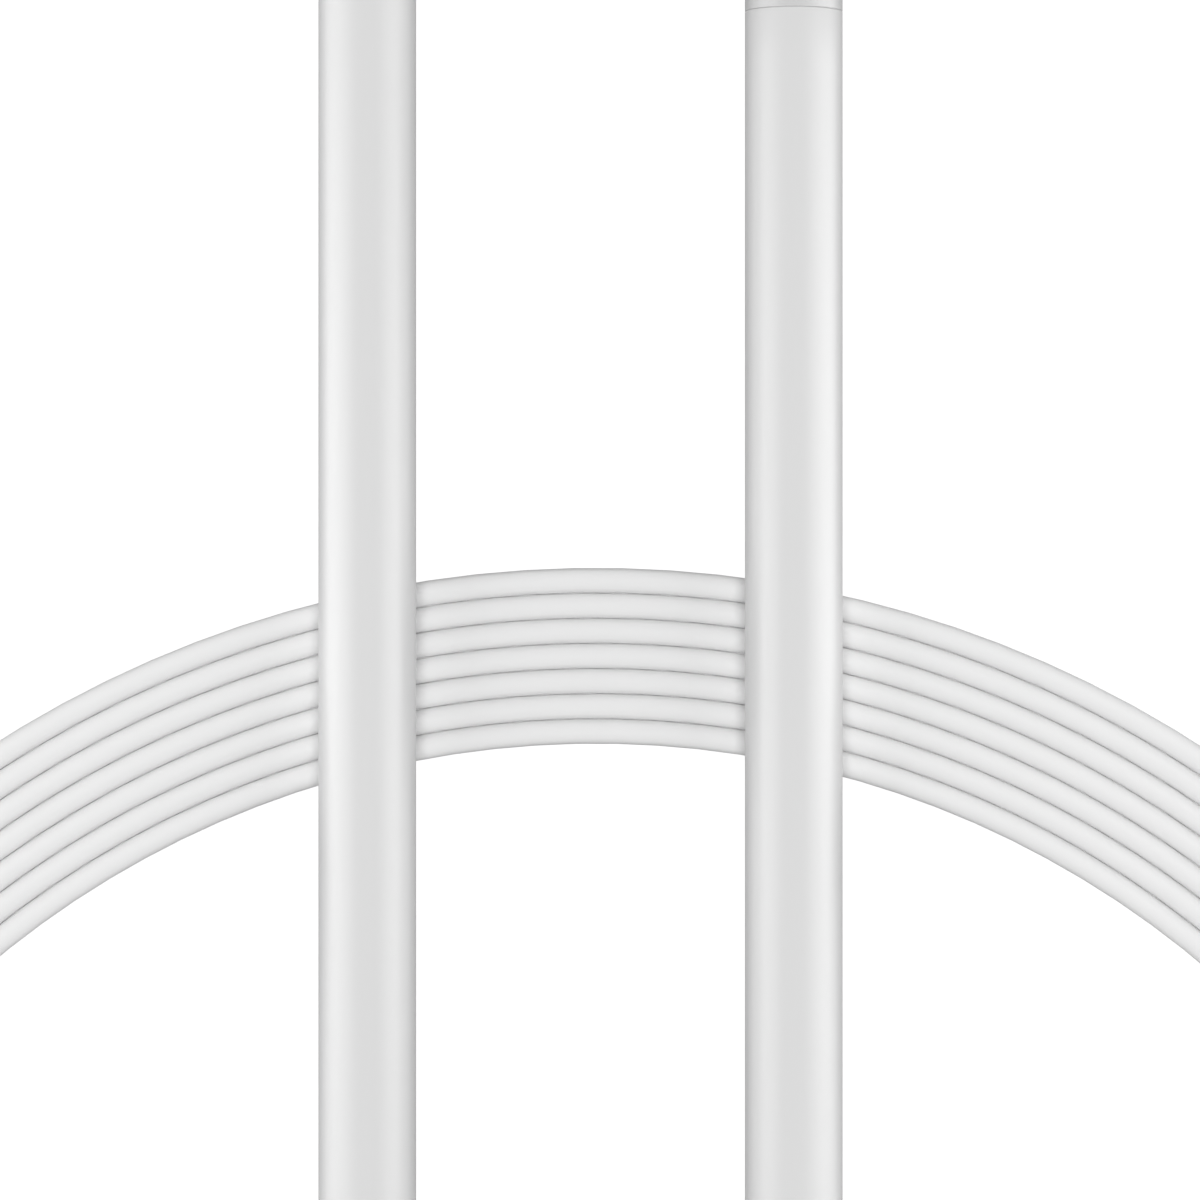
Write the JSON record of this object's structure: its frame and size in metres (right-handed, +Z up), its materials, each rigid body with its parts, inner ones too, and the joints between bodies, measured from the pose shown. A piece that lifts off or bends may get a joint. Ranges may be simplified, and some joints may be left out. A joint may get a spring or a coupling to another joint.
{
  "type": "charging cable",
  "caption": "Long white charging cable with a USB-A and a USB-C plug, thin lead wound in a flat round coil, each plug on a thick straight sleeve.",
  "frame": {"origin": "On the surface the cable lies on, under the middle of the box round the sleeves, plugs and coil ties.", "axes": "+Y along the sleeves towards the plugs, +Z up from the surface, +X to the right with the USB-A plug on the right."},
  "size_m": [0.1796, 0.3083, 0.0104],
  "materials": {
    "white_sleeve": "satin, very fine grain",
    "white_collar": "satin",
    "white_housing": "semi-gloss",
    "white_lead": "satin",
    "strap_fabric": "napped hook-and-loop strap",
    "plated_steel": "bright nickel plate",
    "spring_steel": "plain",
    "gold_contact": "gold plate",
    "white_insulator": "matt",
    "black_insulator": "matt",
    "solder": "bright",
    "ferrule_brass": "plain",
    "natural_mould": "translucent, matt",
    "foam_liner": "foamed, matt",
    "circuit_board": "solder mask",
    "chip_black": "matt",
    "resistor_grey": "matt",
    "wire_red": "satin",
    "wire_white": "satin",
    "wire_green": "satin",
    "wire_black": "satin"
  },
  "bodies": {
    "cable": {"cord_coil": "white_lead", "cord_usb_a_tail": "white_lead", "cord_usb_c_tail": "white_lead", "coil_tie_left": "strap_fabric", "coil_tie_right": "strap_fabric", "usb_a_sleeve": "white_sleeve", "usb_a_liner": "foam_liner", "usb_a_inner_lead": "white_lead", "usb_a_boot": "white_sleeve", "usb_a_collar": "white_collar", "usb_a_neck": "white_housing", "usb_a_housing": "white_housing", "usb_a_inner_mould": "natural_mould", "usb_a_ferrule": "ferrule_brass", "usb_a_shell": "plated_steel", "usb_a_tongue": "white_insulator", "usb_a_contacts": "gold_contact", "usb_a_solder": "solder", "usb_a_wire_red": "wire_red", "usb_a_wire_white": "wire_white", "usb_a_wire_green": "wire_green", "usb_a_wire_black": "wire_black", "usb_c_sleeve": "white_sleeve", "usb_c_liner": "foam_liner", "usb_c_inner_lead": "white_lead", "usb_c_boot": "white_sleeve", "usb_c_collar": "white_collar", "usb_c_neck": "white_housing", "usb_c_housing": "white_housing", "usb_c_inner_mould": "natural_mould", "usb_c_ferrule": "ferrule_brass", "usb_c_shield_can": "plated_steel", "usb_c_shell": "plated_steel", "usb_c_insulator": "black_insulator", "usb_c_contact_tails": "gold_contact", "usb_c_circuit_board": "circuit_board", "usb_c_chip": "chip_black", "usb_c_resistors": "resistor_grey", "usb_c_wire_red": "wire_red", "usb_c_wire_white": "wire_white", "usb_c_wire_green": "wire_green", "usb_c_wire_black": "wire_black"},
    "upper_contact_row": {"usb_c_upper_contacts": "gold_contact"},
    "lower_contact_row": {"usb_c_lower_contacts": "gold_contact"},
    "left_latch": {"usb_c_latch_left": "spring_steel"},
    "right_latch": {"usb_c_latch_right": "spring_steel"}
  },
  "joints": [
    {"name": "upper_contacts_flex", "type": "hinge", "parent": "cable", "child": "upper_contact_row", "pos_m": [-0.018, 0.135, 0.0069], "axis": [1, 0, 0], "range_deg": [0, 1.4], "stiffness_Nm_per_rad": 0.01},
    {"name": "lower_contacts_flex", "type": "hinge", "parent": "cable", "child": "lower_contact_row", "pos_m": [-0.018, 0.135, 0.0059], "axis": [-1, 0, 0], "range_deg": [0, 1.4], "stiffness_Nm_per_rad": 0.01},
    {"name": "left_latch_flex", "type": "hinge", "parent": "cable", "child": "left_latch", "pos_m": [-0.02162, 0.1346, 0.0064], "axis": [0, 0, 1], "range_deg": [0, 1.6], "stiffness_Nm_per_rad": 0.01},
    {"name": "right_latch_flex", "type": "hinge", "parent": "cable", "child": "right_latch", "pos_m": [-0.01438, 0.1346, 0.0064], "axis": [0, 0, -1], "range_deg": [0, 1.6], "stiffness_Nm_per_rad": 0.01}
  ]
}
